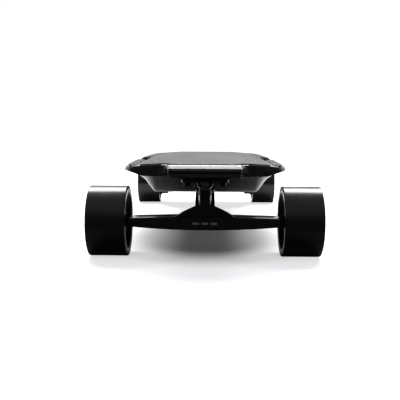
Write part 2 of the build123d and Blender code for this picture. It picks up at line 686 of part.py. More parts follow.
mount_outer = mount_inner + mount_thickness
rear_hanger_half = mount_outer + 3
front_wheel_x = front_track / 2
rear_wheel_x = rear_track / 2
neck_side = [
    (hanger_front + neck_setback, hanger_mid_high - 3),
    (-4.0, hanger_mid_high - 3),
    (-4.6, hanger_mid_high),
    (lower_pivot_in - 5.6, lower_pivot_up - 13.0),
    (lower_pivot_in - 3.4, lower_pivot_up - 11.5),
    (lower_pivot_in, lower_pivot_up),
    (lower_pivot_in - 9.6, lower_pivot_up + 1.0),
]
neck_front = mirrored([
    (gusset_base, axle_z + hanger_end_low),
    (gusset_base, axle_z + hanger_end_high),
    (gusset_shoulder, axle_z + 16.0),
    (yoke_half_width, axle_z + 25.0),
    (neck_half_width, axle_z + 26.0),
    (neck_half_width, axle_z + 60.0),
])
for name, end in ends.items():
    rear = name == "rear"
    half = rear_hanger_half if rear else front_hanger_half
    boss_end = (rear_wheel_x if rear else front_wheel_x) - core_width / 2 - end_play
    with BuildPart() as hanger:
        extrude(outline(Plane.YZ, end_points(neck_side, end)), amount=gusset_base + 5, both=True)
        extrude(outline(cross_plane(end["y"]), neck_front), amount=60, both=True, mode=Mode.INTERSECT)
        blade_y = end["y"] + end["inward"] * (hanger_front + hanger_back) / 2
        with BuildSketch(cross_plane(blade_y, axle_z)):
            with BuildLine():
                low = ThreePointArc((-half, hanger_end_low), (0, hanger_mid_low), (half, hanger_end_low))
                high = ThreePointArc((-half, hanger_end_high), (0, hanger_mid_high), (half, hanger_end_high))
                Line(low @ 0, high @ 0)
                Line(low @ 1, high @ 1)
            make_face()
        extrude(amount=(hanger_back - hanger_front) / 2, both=True)
        extrude(ring(kingpin_plane(end, lower_pivot, -eye_half), hanger_eye_radius), amount=2 * eye_half)
        extrude(ring(side_plane(-boss_end, end["y"], axle_z), end_boss_radius), amount=2 * boss_end)
        if rear:
            for side in sides.values():
                with Locations((side * (mount_inner + rear_hanger_half) / 2, blade_y, axle_z)):
                    Box(rear_hanger_half - mount_inner, hanger_back - hanger_front,
                        2 * (hanger_end_high + mount_seat_margin))
        extrude(ring(kingpin_plane(end, lower_pivot, -20), bore), amount=30, mode=Mode.SUBTRACT)
        extrude(ring(side_plane(-boss_end, end["y"], axle_z), axle_radius), amount=2 * boss_end,
            mode=Mode.SUBTRACT)
    save(hanger, f"{name}_hanger")

    wheel_x = rear_wheel_x if rear else front_wheel_x
    nut_x = wheel_x + core_width / 2 + end_play
    with BuildPart() as axle:
        extrude(ring(side_plane(-nut_x - axle_nut_length - 0.7, end["y"], axle_z), axle_radius),
                amount=2 * (nut_x + axle_nut_length + 0.7))
    save(axle, f"{name}_axle")

    with BuildPart() as axle_nuts:
        for start in (nut_x, -nut_x - axle_nut_length):
            extrude(hexagon(side_plane(start, end["y"], axle_z), axle_nut_radius, axle_radius),
                amount=axle_nut_length)
    save(axle_nuts, f"{name}_axle_nuts")

    for side_name, side in sides.items():
        middle = Plane(origin=(side * wheel_x, end["y"], axle_z), x_dir=(1, 0, 0), z_dir=(0, -1, 0))
        spin = Axis((0, end["y"], axle_z), (1, 0, 0))
        tread = wheel_diameter / 2
        with BuildPart() as tyre:
            with BuildSketch(middle) as tyre_face:
                with BuildLine():
                    Polyline(
                        (-wheel_width / 2, tread), (wheel_width / 2, tread),
                        (wheel_width / 2, core_radius + 7), (core_width / 2, core_radius + 2),
                        (core_width / 2, core_radius), (-core_width / 2, core_radius),
                        (-core_width / 2, core_radius + 2), (-wheel_width / 2, core_radius + 7),
                        close=True,
                    )
                make_face()
                fillet(tyre_face.vertices().group_by(Axis.Y)[-1], lip_radius)
            revolve(axis=spin)
        save(tyre, f"{name}_{side_name}_tyre")

        core_start = side_plane(side * wheel_x - core_width / 2, end["y"], axle_z)
        with BuildPart() as core:
            extrude(ring(core_start, core_radius, core_radius - core_rim), amount=core_width)
            extrude(ring(core_start, hub_radius, spacer_bore), amount=core_width)
            with BuildSketch(core_start.offset((core_width - spoke_depth) / 2)):
                with PolarLocations((hub_radius + core_radius - core_rim) / 2, spoke_count, start_angle=90):
                    Rectangle(core_radius - core_rim - hub_radius + 3, spoke_width)
            extrude(amount=spoke_depth)
            extrude(ring(core_start, bearing_radius), amount=bearing_width, mode=Mode.SUBTRACT)
            extrude(ring(core_start.offset(core_width - bearing_width), bearing_radius),
                    amount=bearing_width, mode=Mode.SUBTRACT)
        save(core, f"{name}_{side_name}_wheel_core")

        with BuildPart() as bearings:
            for start in (0, core_width - bearing_width):
                extrude(ring(core_start.offset(start), bearing_radius, axle_radius + pivot_clearance),
                    amount=bearing_width)
        save(bearings, f"{name}_{side_name}_bearings")

# Belt drive
rear = ends["rear"]
axle_spot = (rear["y"], axle_z)
motor_spot = (rear["y"] - motor_in, axle_z + motor_up)
wheel_pulley_radius = wheel_teeth * tooth_pitch / (2 * math.pi) - 0.57
motor_pulley_radius = motor_teeth * tooth_pitch / (2 * math.pi) - 0.57
wheel_hub_x = rear_wheel_x - core_width / 2


def side_extrude(face_at, start, length, side, mode=Mode.ADD):
    # Extrudes a face made by face_at(x) from start outwards, on the chosen side
    low = start if side > 0 else -start - length
    extrude(face_at(low), amount=length, mode=mode)


def disc_at(spot, radius, hole=0.0):
    return lambda x: ring(side_plane(x, *spot), radius, hole)


def hull_at(first, first_radius, second, second_radius):
    return lambda x: two_circles(x, first, first_radius, second, second_radius)


def cut_teeth(spot, radius, count, start, length, side):
    low = start if side > 0 else -start - length
    with BuildSketch(side_plane(low, *spot)) as gaps:
        with PolarLocations(radius, count):
            Circle(tooth_depth)
    extrude(gaps.sketch, amount=length, mode=Mode.SUBTRACT)


def along_belt(share):
    return tuple(m + share * (a - m) for m, a in zip(motor_spot, axle_spot))


for side_name, side in sides.items():
    with BuildPart() as wheel_pulley:
        side_extrude(disc_at(axle_spot, wheel_pulley_radius), pulley_start, pulley_width, side)
        cut_teeth(axle_spot, wheel_pulley_radius, wheel_teeth, pulley_start, pulley_width, side)
        side_extrude(disc_at(axle_spot, core_radius - 3), pulley_start + pulley_width,
                     wheel_hub_x - pulley_start - pulley_width, side)
        side_extrude(disc_at(axle_spot, end_boss_radius + 1), pulley_start - 5, 60, side, Mode.SUBTRACT)
    save(wheel_pulley, f"{side_name}_wheel_pulley")

    with BuildPart() as motor_pulley:
        side_extrude(disc_at(motor_spot, motor_pulley_radius, shaft_radius), pulley_start, pulley_width, side)
        cut_teeth(motor_spot, motor_pulley_radius, motor_teeth, pulley_start, pulley_width, side)
    save(motor_pulley, f"{side_name}_motor_pulley")

    with BuildPart() as motor_rotor:
        bell_start = motor_start + motor_wall + 4
        bell_end = mount_inner - motor_wall - 4
        side_extrude(disc_at(motor_spot, shaft_radius), motor_start + motor_wall + 1,
                     pulley_start + pulley_width - motor_start - motor_wall - 1, side)
        side_extrude(disc_at(motor_spot, motor_radius - motor_wall - 1.5), bell_start,
            bell_end - bell_start, side)
        side_extrude(disc_at(motor_spot, motor_radius - motor_wall - 7.5, shaft_radius),
                     bell_start + 4, bell_end - bell_start, side, Mode.SUBTRACT)
    save(motor_rotor, f"{side_name}_motor_rotor")

with BuildPart() as motor_stators:
    for side in sides.values():
        side_extrude(disc_at(motor_spot, motor_radius - motor_wall - 9.5, shaft_radius + 2),
                     motor_start + motor_wall + 11, mount_inner - motor_start - 2 * motor_wall - 17, side)
        side_extrude(disc_at(motor_spot, shaft_radius + 6, shaft_radius + 2),
                     mount_inner - motor_wall - 8, 8, side)
save(motor_stators, "motor_stators")

with BuildPart() as motor_housings:
    for side in sides.values():
        side_extrude(disc_at(motor_spot, motor_radius), motor_start, mount_inner - motor_start, side)
        side_extrude(disc_at(motor_spot, motor_radius - motor_wall), motor_start + motor_wall,
                     mount_inner - motor_start - 2 * motor_wall, side, Mode.SUBTRACT)
        side_extrude(disc_at(motor_spot, shaft_radius + pivot_clearance), mount_inner - 8, 10, side,
            Mode.SUBTRACT)
save(motor_housings, "motor_housings")

motor_screw_ring = 15.0
motor_screw_radius = 1.5
motor_screw_spots = [
    (motor_spot[0] + motor_screw_ring * y_sign * math.sqrt(0.5),
        motor_spot[1] + motor_screw_ring * z_sign * math.sqrt(0.5))
    for y_sign in (-1, 1) for z_sign in (-1, 1)
]
with BuildPart() as motor_mounts:
    for side in sides.values():
        side_extrude(hull_at(axle_spot, 27, motor_spot, motor_radius + 1.5), mount_inner, mount_thickness,
            side)
        side_extrude(disc_at(motor_spot, shaft_radius + 4), mount_inner - 1, mount_thickness + 2, side,
            Mode.SUBTRACT)
        side_extrude(disc_at(along_belt(0.5), 9), mount_inner - 1, mount_thickness + 2, side, Mode.SUBTRACT)
        side_extrude(disc_at(axle_spot, end_boss_radius), mount_inner - 1, mount_thickness + 2, side,
            Mode.SUBTRACT)
        for spot in motor_screw_spots:
            side_extrude(disc_at(spot, motor_screw_radius), mount_inner - 1, mount_thickness + 2, side,
                Mode.SUBTRACT)
        with Locations((side * (mount_inner + mount_thickness / 2),
                rear["y"] - (hanger_front + hanger_back) / 2, axle_z)):
            Box(mount_thickness + 2, hanger_back - hanger_front,
                2 * (hanger_end_high + mount_seat_margin), mode=Mode.SUBTRACT)
save(motor_mounts, "motor_mounts")

with BuildPart() as mount_screws:
    for side in sides.values():
        for spot in motor_screw_spots:
            side_extrude(disc_at(spot, motor_screw_radius), mount_inner, mount_thickness, side)
            side_extrude(disc_at(spot, 2 * motor_screw_radius - 0.4), mount_outer, 2.5, side)
save(mount_screws, "mount_screws")

belt_start = pulley_start + (pulley_width - belt_width) / 2
with BuildPart() as drive_belts:
    for side in sides.values():
        inner = (wheel_pulley_radius + belt_gap, motor_pulley_radius + belt_gap)
        side_extrude(hull_at(axle_spot, inner[0] + belt_thickness, motor_spot, inner[1] + belt_thickness),
                     belt_start, belt_width, side)
        side_extrude(hull_at(axle_spot, inner[0], motor_spot, inner[1]), belt_start, belt_width, side,
            Mode.SUBTRACT)
save(drive_belts, "drive_belts")

guard_end = pulley_start + pulley_width + guard_gap + guard_wall - 1.7
with BuildPart() as belt_guards:
    for side in sides.values():
        side_extrude(hull_at(motor_spot, 21, along_belt(0.4), 26), mount_outer, guard_end - mount_outer, side)
        side_extrude(hull_at(motor_spot, 19, along_belt(1.0), 33), mount_outer,
                     guard_end - guard_wall - mount_outer, side, Mode.SUBTRACT)
        side_extrude(disc_at(axle_spot, core_radius), mount_outer - 1, 40, side, Mode.SUBTRACT)
save(belt_guards, "belt_guards")
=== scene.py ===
import json
import math
import bmesh
import bpy
import numpy as np
from mathutils import Matrix, Vector


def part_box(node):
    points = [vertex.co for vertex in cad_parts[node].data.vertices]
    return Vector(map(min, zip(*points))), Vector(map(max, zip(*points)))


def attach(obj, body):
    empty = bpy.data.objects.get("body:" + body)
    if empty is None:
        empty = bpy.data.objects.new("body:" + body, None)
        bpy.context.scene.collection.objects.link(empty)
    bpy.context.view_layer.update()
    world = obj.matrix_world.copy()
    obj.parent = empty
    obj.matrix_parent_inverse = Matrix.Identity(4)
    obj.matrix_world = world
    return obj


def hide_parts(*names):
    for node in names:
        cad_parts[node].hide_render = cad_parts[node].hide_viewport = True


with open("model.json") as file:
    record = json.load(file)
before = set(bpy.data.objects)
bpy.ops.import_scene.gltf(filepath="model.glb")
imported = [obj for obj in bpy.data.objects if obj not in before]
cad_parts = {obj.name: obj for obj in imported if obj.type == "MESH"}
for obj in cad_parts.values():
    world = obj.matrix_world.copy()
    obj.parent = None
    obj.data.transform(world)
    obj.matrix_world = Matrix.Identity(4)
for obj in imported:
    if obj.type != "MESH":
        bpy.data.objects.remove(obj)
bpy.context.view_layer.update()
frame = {"nodes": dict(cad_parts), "record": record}
record = frame["record"]
bodyOf = {node: body for body, nodes in record["behaviour"]["bodies"].items() for node in nodes}
jointOf = {joint["name"]: joint for joint in record["behaviour"]["joints"]}
mm = 0.001
sides = {"left": -1, "right": 1}


# A wrapped socket: an expression on several of them adds its Math nodes
class Wire:
    def __init__(self, paint, socket):
        self.paint = paint
        self.socket = socket

    def out(self, output):
        return Wire(self.paint, self.socket.node.outputs[output])

    def math(self, operation, *others):
        return self.paint.node("ShaderNodeMath", {"operation": operation}, dict(enumerate((self, *others))))

    def after(self, operation, first):
        return self.paint.node("ShaderNodeMath", {"operation": operation}, {0: first, 1: self})

    def __add__(self, other):
        return self.math("ADD", other)

    def __sub__(self, other):
        return self.math("SUBTRACT", other)

    def __mul__(self, other):
        return self.math("MULTIPLY", other)

    def __truediv__(self, other):
        return self.math("DIVIDE", other)

    def __pow__(self, other):
        return self.math("POWER", other)

    def __radd__(self, other):
        return self.after("ADD", other)

    def __rsub__(self, other):
        return self.after("SUBTRACT", other)

    def __rmul__(self, other):
        return self.after("MULTIPLY", other)

    def __rtruediv__(self, other):
        return self.after("DIVIDE", other)

    def band(self, low, high):  # 0 under low, 1 over high, smooth between them
        settings = {"interpolation_type": "SMOOTHSTEP"}
        return self.paint.node("ShaderNodeMapRange", settings,
            {"Value": self, "From Min": low, "From Max": high})


class Nodes:
    def __init__(self, tree, place):
        self.tree = tree
        self.place = self.node("ShaderNodeTexCoord", output=place)

    def node(self, kind, settings=None, inputs=None, output=0):
        made = self.tree.nodes.new(kind)
        for key, value in (settings or {}).items():
            if key == "stops":
                ramp = made.color_ramp.elements
                while len(ramp) < len(value):
                    ramp.new(0.5)
                for stop, (position, colour) in zip(ramp, value):
                    stop.position = position
                    stop.color = colour
            else:
                setattr(made, key, value)
        for key, value in (inputs or {}).items():
            if isinstance(value, Wire):
                self.tree.links.new(value.socket, made.inputs[key])
            else:
                made.inputs[key].default_value = value
        return Wire(self, made.outputs[output])

    def split(self):
        parts = self.node("ShaderNodeSeparateXYZ", None, {0: self.place})
        return parts, parts.out(1), parts.out(2)

    def blend(self, amount, first, second):
        settings = {"data_type": "RGBA", "clamp_factor": True}
        return self.node("ShaderNodeMix", settings, {0: amount, 6: first, 7: second}, 2)


class Paint(Nodes):
    def __init__(self, name, **fixed):
        self.material = bpy.data.materials.new(name)
        self.material.use_nodes = True
        super().__init__(self.material.node_tree, "Object")
        self.shader = self.tree.nodes["Principled BSDF"]
        for socketName, value in fixed.items():
            self.shader.inputs[socketName.replace("_", " ")].default_value = value

    def noise(self, scale, detail=3.0, roughness=0.55, place=None):
        return self.node("ShaderNodeTexNoise", None, {
            "Vector": place or self.place, "Scale": scale, "Detail": detail, "Roughness": roughness}, "Fac")

    def cells(self, scale, feature="F1", randomness=1.0, place=None, output="Distance"):
        return self.node("ShaderNodeTexVoronoi", {"feature": feature}, {
            "Vector": place or self.place, "Scale": scale, "Randomness": randomness}, output)

    def bump(self, height, depth, strength=1.0):
        inputs = {"Height": height, "Distance": depth, "Strength": strength}
        self.set(Normal=self.node("ShaderNodeBump", None, inputs))

    def set(self, **wires):
        for socketName, value in wires.items():
            self.tree.links.new(value.socket, self.shader.inputs[socketName.replace("_", " ")])


def grey(value, alpha=1.0):
    return (value, value, value * 1.02, alpha)


# Meshes are kept as (points, faces) until they are finished
def gridMesh(points, closedAcross=True, closedAlong=False, capped=True):
    # points[i, j]: station i along the piece, j round or across it; neighbours are joined by quads
    rows, columns = points.shape[:2]
    index = np.arange(rows * columns).reshape(rows, columns)
    if closedAcross:
        index = np.concatenate([index, index[:, :1]], axis=1)
    if closedAlong:
        index = np.concatenate([index, index[:1]], axis=0)
    quads = np.stack([index[:-1, :-1], index[:-1, 1:], index[1:, 1:], index[1:, :-1]], axis=-1).reshape(-1, 4)
    faces = [tuple(q) for q in quads.tolist()]
    if capped and closedAcross and not closedAlong:
        faces.append(tuple(index[0, :columns][::-1].tolist()))
        faces.append(tuple(index[-1, :columns].tolist()))
    return points.reshape(-1, 3), faces


def joined(*meshes):
    points, faces, start = [], [], 0
    for meshPoints, meshFaces in meshes:
        points.append(meshPoints)
        faces += [tuple(start + i for i in face) for face in meshFaces]
        start += len(meshPoints)
    return np.concatenate(points), faces


def outward(mesh):
    # Turns a closed mesh right side out by the sign of its volume, worked out from its triangle fans
    points, faces = mesh
    volume = 0.0
    for count in {len(face) for face in faces}:
        some = np.array([face for face in faces if len(face) == count])
        for k in range(1, count - 1):
            a, b, c = points[some[:, 0]], points[some[:, k]], points[some[:, k + 1]]
            volume += np.einsum("ij,ij->i", a, np.cross(b, c)).sum()
    return (points, faces) if volume > 0 else (points, [face[::-1] for face in faces])


def basis(axis):
    # Two directions square to an axis and to each other
    axis = np.array(axis, float) / np.linalg.norm(axis)
    across = np.array((1.0, 0, 0)) if abs(axis[0]) < 0.9 else np.array((0, 1.0, 0))
    first = np.cross(axis, across)
    first /= np.linalg.norm(first)
    return axis, first, np.cross(axis, first)


def turned(profile, centre, axis, steps=64, closed=False):
    # Revolves (along, radius) points, in millimetres, about an axis; a closed profile makes a ring
    axis, first, second = basis(axis)
    profile = np.array(profile, float) * mm
    angle = np.linspace(0, 2 * math.pi, steps, endpoint=False)
    spoke = np.cos(angle)[:, None] * first + np.sin(angle)[:, None] * second
    points = np.array(centre) + profile[:, None, :1] * axis + profile[:, None, 1:] * spoke[None]
    return outward(gridMesh(points, True, closed, not closed))


def roundedCorners(corners, radius, steps=4):
    # Replaces each corner of a closed outline by an arc drawn as a quadratic curve through it
    corners = np.array(corners, float)
    radii = np.broadcast_to(np.array(radius, float), len(corners))
    before, after = np.roll(corners, 1, axis=0) - corners, np.roll(corners, -1, axis=0) - corners
    reachBefore = np.minimum(radii, 0.48 * np.linalg.norm(before, axis=1))
    reachAfter = np.minimum(radii, 0.48 * np.linalg.norm(after, axis=1))
    start = corners + before / np.linalg.norm(before, axis=1)[:, None] * reachBefore[:, None]
    end = corners + after / np.linalg.norm(after, axis=1)[:, None] * reachAfter[:, None]
    t = np.linspace(0, 1, steps)[None, :, None]
    curve = (1 - t) ** 2 * start[:, None] + 2 * t * (1 - t) * corners[:, None] + t ** 2 * end[:, None]
    return curve.reshape(-1, 2)


def prism(outline, centre, axis, first, low, high, bevel=0.6):
    # An outline carried along an axis, drawn in a little at both ends so that its edges catch light
    axis = np.array(axis, float) / np.linalg.norm(axis)
    first = np.array(first, float) / np.linalg.norm(first)
    second = np.cross(axis, first)
    outline = np.array(outline, float)
    middle = outline.mean(axis=0)
    away = outline - middle
    shrink = 1 - bevel / np.maximum(np.linalg.norm(away, axis=1), 1e-6)[:, None]
    small = middle + away * shrink
    levels = [(low, small), (low + bevel, outline), (high - bevel, outline), (high, small)]
    rows = [np.array(centre) + mm * (flat[:, :1] * first + flat[:, 1:] * second + level * axis)
        for level, flat in levels]
    return outward(gridMesh(np.stack(rows)))


def makePiece(name, mesh, material, nodes, smoothAngle=40.0, bevel=0.0, replaces=True):
    points, faces = mesh
    data = bpy.data.meshes.new(name)
    data.from_pydata(points.tolist(), [], faces)
    data.validate()
    piece = bpy.data.objects.new(name, data)
    bpy.context.scene.collection.objects.link(piece)
    return finishPiece(piece, material, nodes, smoothAngle, bevel, replaces)


def finishPiece(piece, material, nodes, smoothAngle=40.0, bevel=0.0, replaces=True):
    data = piece.data
    data.materials.clear()
    data.materials.append(material)
    work = bmesh.new()
    work.from_mesh(data)
    for face in work.faces:
        face.smooth = True
    for edge in work.edges:
        sharp = len(edge.link_faces) == 2 and edge.calc_face_angle(0) > math.radians(smoothAngle)
        edge.smooth = not sharp or bevel > 0
    work.to_mesh(data)
    work.free()
    if bevel:
        modifier = piece.modifiers.new("edges", "BEVEL")
        modifier.width = bevel * mm
        modifier.segments = 2
        modifier.limit_method = "ANGLE"
        modifier.angle_limit = math.radians(30)
        modifier.harden_normals = True
    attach(piece, bodyOf[nodes[0]])
    if replaces:
        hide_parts(*nodes)
    return piece


def cadMesh(*nodes):
    # A merged copy of CAD nodes, with the flat faces' triangles dissolved
    work = bmesh.new()
    for node in nodes:
        work.from_mesh(frame["nodes"][node].data)
    bmesh.ops.remove_doubles(work, verts=work.verts, dist=2e-6)
    bmesh.ops.dissolve_limit(work, angle_limit=math.radians(1.0), verts=work.verts, edges=work.edges)
    points = np.array([vertex.co[:] for vertex in work.verts])
    faces = [tuple(vertex.index for vertex in face.verts) for face in work.faces]
    work.free()
    return points, faces


def softCopy(node, material, bevel=0.6):
    return makePiece(f"{node}_finished", cadMesh(node), material, [node], bevel=bevel)


def centreOf(node):
    low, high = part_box(node)
    return (np.array(low) + np.array(high)) / 2


frontAxle = centreOf("front_axle")
rearAxle = centreOf("rear_axle")
wheelbase = (rearAxle[1] - frontAxle[1]) / mm
print("frame loaded, wheelbase", round(wheelbase), "mm")


# Materials: every one reads Object coordinates, in metres
def carbonPaint():
    # Chopped carbon chips of about 10 mm under clear lacquer
    paint = Paint("glossyForgedCarbon", Coat_Weight=1.0, Coat_Roughness=0.04)
    tone = paint.cells(105.0, output="Color") * 1.0
    fine = paint.noise(520.0, 3.0, 0.6)
    shade = (tone * 0.7 + fine * 0.3).band(0.25, 0.8)
    paint.set(Base_Color=paint.blend(shade, grey(0.008), grey(0.04)))
    paint.set(Roughness=0.26 + 0.14 * tone + 0.06 * fine)
    paint.bump(paint.noise(45.0, 2.0), 0.0004, 0.2)
    return paint.material


def gripPaint(name, low, high, facets):
    # Rough grit with large flat facets and a scuffed middle
    paint = Paint(name, Specular_IOR_Level=0.6, Sheen_Weight=0.5, Sheen_Roughness=0.4)
    grain = paint.cells(900.0)
    facet = paint.cells(facets, output="Color") * 1.0
    seam = paint.cells(facets, feature="DISTANCE_TO_EDGE")
    scuff = paint.noise(9.0, 4.0, 0.65).band(0.45, 0.75)
    shade = facet * 0.5 + grain * 0.6 + scuff * 0.35
    paint.set(Base_Color=paint.blend(shade * seam.band(0.0, 0.02), grey(low), grey(high)))
    paint.set(Roughness=0.82 - 0.18 * scuff)
    paint.bump(grain * 0.6 + facet * 0.8, 0.0006, 0.7)
    return paint.material


def bumperPaint(name, splitZ):
    # Gloss black above the groove; below it a lighter satin whose paler grey is a painted reflection of the
    # floor, mottled by scuffs
    paint = Paint(name, Coat_Weight=0.5, Coat_Roughness=0.1)
    x, y, z = paint.split()
    upper = z.band(splitZ - 0.0003, splitZ + 0.0003)
    scuff = paint.noise(160.0, 5.0, 0.7).band(0.5, 0.8)
    # painted reflection: the band below the groove is coloured lighter grey for the floor it faces, with scuffs
    # mixed in
    paintedReflectionAndScuff = paint.blend(scuff, grey(0.07), grey(0.11))
    paint.set(Base_Color=paint.blend(upper, paintedReflectionAndScuff, grey(0.012)))
    paint.set(Roughness=0.5 - 0.3 * upper + 0.15 * scuff)
    paint.bump(paint.noise(1400.0, 2.0), 0.00008, 0.5)
    return paint.material


def urethanePaint():
    # Cast urethane: satin, with faint mottling, fine dust and very shallow swirls
    paint = Paint("satinUrethane", Coat_Weight=0.25, Coat_Roughness=0.12)
    cloud = paint.noise(28.0, 4.0, 0.6)
    dust = paint.noise(900.0, 4.0, 0.75).band(0.62, 0.85)
    paint.set(Base_Color=paint.blend(cloud * 0.5 + dust * 0.5, grey(0.009), grey(0.03)))
    paint.set(Roughness=0.2 + 0.1 * cloud + 0.2 * dust)
    paint.bump(paint.noise(130.0, 3.0), 0.00015, 0.25)
    return paint.material


def mouldedPaint(name, low, high, rough, grain=1100.0, depth=0.00012, coat=0.0):
    # Moulded plastic or rubber with a fine spark-eroded grain, paler where it is rubbed
    paint = Paint(name, Coat_Weight=coat, Coat_Roughness=0.15)
    texture = paint.noise(grain, 2.0, 0.5)
    rubbed = paint.noise(24.0, 5.0, 0.7).band(0.5, 0.8)
    paint.set(Base_Color=paint.blend(rubbed * 0.7 + texture * 0.3, grey(low), grey(high)))
    paint.set(Roughness=rough - 0.14 * rubbed + 0.1 * texture)
    paint.bump(texture, depth, 0.6)
    return paint.material


def metalPaint(name, low, high, rough, metallic, grain=1500.0, turnedAxis=None, depth=0.00008, coat=0.0):
    # Metal: blasted where turnedAxis is None, otherwise lined by the lathe across that axis
    paint = Paint(name, Coat_Weight=coat, Coat_Roughness=0.12)
    axes = paint.split()
    cloud = paint.noise(70.0, 4.0, 0.6)
    texture = paint.noise(grain, 3.0, 0.6)
    if turnedAxis is not None:
        lines = (axes[turnedAxis] * 9000.0).math("SINE") * 0.5 + 0.5
        texture = texture * 0.5 + lines * 0.5
    rubbed = paint.noise(190.0, 6.0, 0.75).band(0.58, 0.8)
    shade = cloud * 0.6 + rubbed * 0.4
    paint.set(Base_Color=paint.blend(shade, grey(low), grey(high)))
    paint.set(Roughness=rough + 0.12 * texture - 0.1 * rubbed)
    paint.set(Metallic=metallic - 0.1 * rubbed)
    paint.bump(texture, depth, 0.6)
    return paint.material


def tintPaint(name, dark, light, rough, scale, metallic=0.0):
    # Coloured parts inside the hull and motors: mottled between two tints
    paint = Paint(name)
    mottle = paint.noise(scale, 4.0, 0.6)
    spots = paint.cells(scale * 2.0)
    paint.set(Base_Color=paint.blend(mottle * 0.7 + spots * 0.3, (*dark, 1.0), (*light, 1.0)))
    paint.set(Roughness=rough + 0.2 * mottle)
    paint.set(Metallic=metallic + 0.1 * spots)
    paint.bump(mottle, 0.0001, 0.5)
    return paint.material


def boardPaint():
    # Circuit board: copper tracks under green lacquer
    paint = Paint("circuitBoard", Coat_Weight=0.4, Coat_Roughness=0.2)
    x, y, z = paint.split()
    tracks = ((x * 2400.0).math("SINE") * (y * 1500.0).math("SINE")).band(0.2, 0.5)
    speckle = paint.noise(500.0, 2.0)
    paint.set(Base_Color=paint.blend(tracks, (0.008, 0.07, 0.03, 1.0), (0.03, 0.16, 0.07, 1.0)))
    paint.set(Roughness=0.35 + 0.2 * speckle)
    paint.bump(tracks, 0.0001, 0.6)
    return paint.material


carbon = carbonPaint()
gripMiddle = gripPaint("roughGripFaceted", 0.03, 0.14, 26.0)
gripEdge = gripPaint("roughGripFine", 0.03, 0.1, 60.0)
urethane = urethanePaint()
nylon = mouldedPaint("mouldedNylon", 0.015, 0.045, 0.48)
coreNylon = mouldedPaint("glassFilledNylon", 0.02, 0.05, 0.42, 700.0)
bushingUrethane = mouldedPaint("bushingUrethane", 0.006, 0.02, 0.4, 500.0, 0.00005, 0.2)
padRubber = mouldedPaint("padRubber", 0.02, 0.05, 0.7)
beltRubber = mouldedPaint("beltRubber", 0.015, 0.04, 0.62, 1700.0)
lidComposite = mouldedPaint("texturedLid", 0.02, 0.055, 0.5, 620.0, 0.0002)
glossPlastic = mouldedPaint("glossPlastic", 0.012, 0.03, 0.2, 900.0, 0.00003, 0.6)
trayPlastic = mouldedPaint("trayPlastic", 0.05, 0.1, 0.55)
blackAlloy = metalPaint("blackAnodisedAlloy", 0.01, 0.028, 0.34, 0.55, coat=1.0)
motorAlloy = metalPaint("turnedMotorAlloy", 0.02, 0.05, 0.3, 0.7, 900.0, 0)
pulleyAlloy = metalPaint("hardAnodisedPulley", 0.03, 0.06, 0.38, 0.7, 1200.0, 0)
brightSteel = metalPaint("machinedSteel", 0.45, 0.62, 0.22, 1.0, 1500.0, 0)
blastedSteel = metalPaint("zincPlatedSteel", 0.4, 0.6, 0.3, 1.0, 1800.0)
oxideSteel = metalPaint("blackOxideSteel", 0.02, 0.06, 0.34, 0.8)
finAlloy = metalPaint("extrudedAlloy", 0.5, 0.7, 0.32, 1.0, 1000.0, 0)
sleeveGreen = tintPaint("cellSleeve", (0.03, 0.16, 0.12), (0.06, 0.26, 0.19), 0.3, 90.0)
copperWire = tintPaint("lacqueredCopper", (0.30, 0.10, 0.03), (0.62, 0.26, 0.10), 0.3, 900.0, 0.8)
circuitBoard = boardPaint()
palePrint = mouldedPaint("palePrint", 0.75, 0.9, 0.45)
print("materials done")


# Deck shell
shellShape = {
    "middleTop": 145.5, "fall": -0.009211, "bend": -3.4626e-5,  # height of the top along the board
    "flatHalf": 62.0, "sideSlope": math.tan(math.radians(4.0)), "foldRadius": 6.0,  # and across it
    "halfWidth": 119.5, "end": 478.0, "slab": 17.0, "rimLift": 6.5, "hullBottom": 85.0, "hullRim": 116.5,
    "lean": 3.7,
    "hullRamps": (-305, -240, 205, 265), "noseStart": 464.0, "noseLength": 14.0, "cutBack": 466.0,
    "lipHeight": 11.8,
    "notchEnds": (201.7, 316.0), "notchCorner": 214.0, "slotEnd": 275.0, "notchMiddle": 253.3,
    "lidRecess": 89.0,
    "insets": (14.5, 23.5, 31.5), "shares": (0.73, 0.286, 0.0),
    "plan": ((119.5, 330), (119.5, 418), (108, 442), (84, 447.5), (61, 451.5), (54.5, 462), (51.5, 478)),
    "planRadii": (24, 16, 14, 9, 7),
    "notchIn": 97.0, "notchDrop": 13.0,
    "bayHalf": 72.0, "lidHalf": 82.3, "lidEnds": (-234.3, 199.3), "bayEnds": (-224.0, 189.0), "bayTop": 129.5,
}


def topAt(y):
    # A parabola along the board
    return shellShape["middleTop"] + shellShape["fall"] * y + shellShape["bend"] * y * y


def sideDrop(x):
    # Level across the middle and a plain slope beyond the fold, joined by a hyperbola
    past = np.abs(x) - shellShape["flatHalf"]
    return shellShape["sideSlope"] * 0.5 * (past + np.sqrt(past ** 2 + shellShape["foldRadius"] ** 2))


def softPath(points, radii, steps=4):
    # Rounds the corners of many open paths at once with quadratic curves; points are [station, corner, 2]
    before, after = points[:, :-2] - points[:, 1:-1], points[:, 2:] - points[:, 1:-1]
    lengthBefore = np.linalg.norm(before, axis=2) + 1e-9
    lengthAfter = np.linalg.norm(after, axis=2) + 1e-9
    radius = np.array(radii)[None]
    start = points[:, 1:-1] + before * (np.minimum(radius, 0.45 * lengthBefore) / lengthBefore)[..., None]
    end = points[:, 1:-1] + after * (np.minimum(radius, 0.45 * lengthAfter) / lengthAfter)[..., None]
    t = np.linspace(0, 1, steps)[None, None, :, None]
    corner = points[:, 1:-1, None]
    curve = (1 - t) ** 2 * start[:, :, None] + 2 * t * (1 - t) * corner + t ** 2 * end[:, :, None]
    middle = curve.reshape(len(points), -1, 2)
    return np.concatenate([points[:, :1], middle, points[:, -1:]], axis=1)


